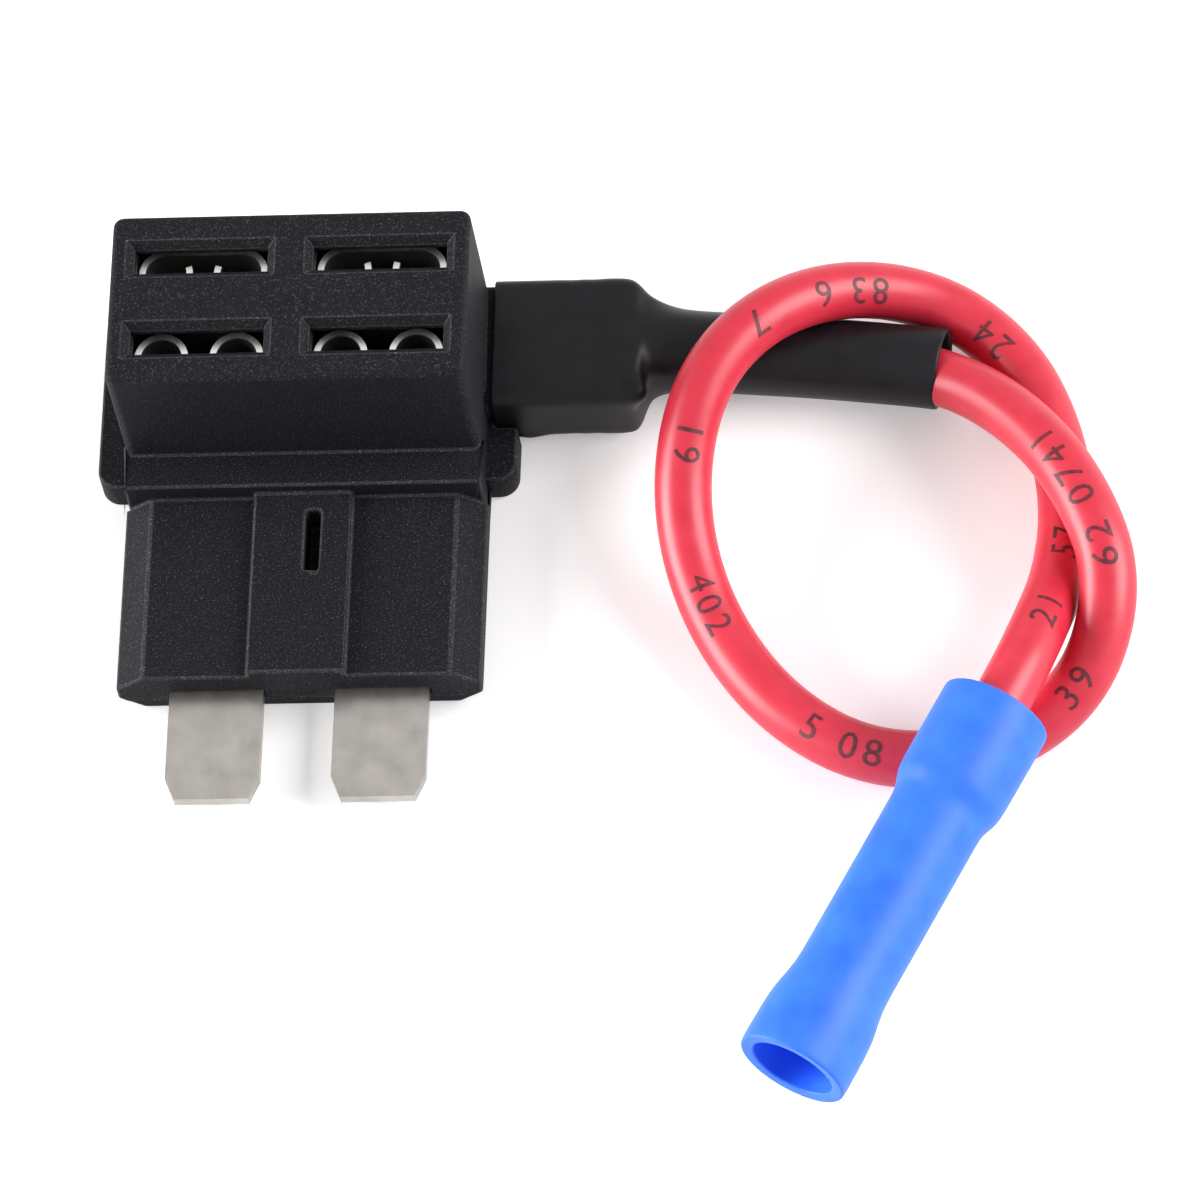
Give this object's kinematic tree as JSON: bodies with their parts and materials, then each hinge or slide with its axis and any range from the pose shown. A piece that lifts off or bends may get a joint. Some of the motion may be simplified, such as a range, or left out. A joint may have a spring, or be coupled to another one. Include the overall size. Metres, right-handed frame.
{
  "type": "blade fuse tap",
  "caption": "Black plug-in holder that takes blade fuses behind rectangular slots, with flat blades, a shrink-sleeved red lead in one loop and a blue butt splice.",
  "frame": {"origin": "on the flat back face, on the centre line between the two blades, level with the shoulder that stops the plug", "axes": "+Z out of the slotted face, away from the back; -Y along the blades, the way the plug goes in; +X to the side where the lead leaves"},
  "size_m": [0.0585, 0.0522, 0.0134],
  "materials": {
    "housing_plastic": "spark-eroded matt black nylon",
    "tin_plate": "matt tin plating on brass sheet",
    "heat_shrink": "smooth satin black polyolefin",
    "red_insulation": "smooth satin red vinyl",
    "copper_strands": "bright stranded copper",
    "blue_vinyl": "satin translucent blue vinyl"
  },
  "bodies": {
    "root": {"front_housing": "housing_plastic", "back_cover": "housing_plastic", "line_terminal": "tin_plate", "load_terminal": "tin_plate", "tap_terminal": "tin_plate", "heat_shrink_sleeve": "heat_shrink", "red_wire": "red_insulation", "strands_at_terminal": "copper_strands", "splice_sleeve": "blue_vinyl", "splice_barrel": "tin_plate", "strands_at_splice": "copper_strands"}
  },
  "joints": []
}
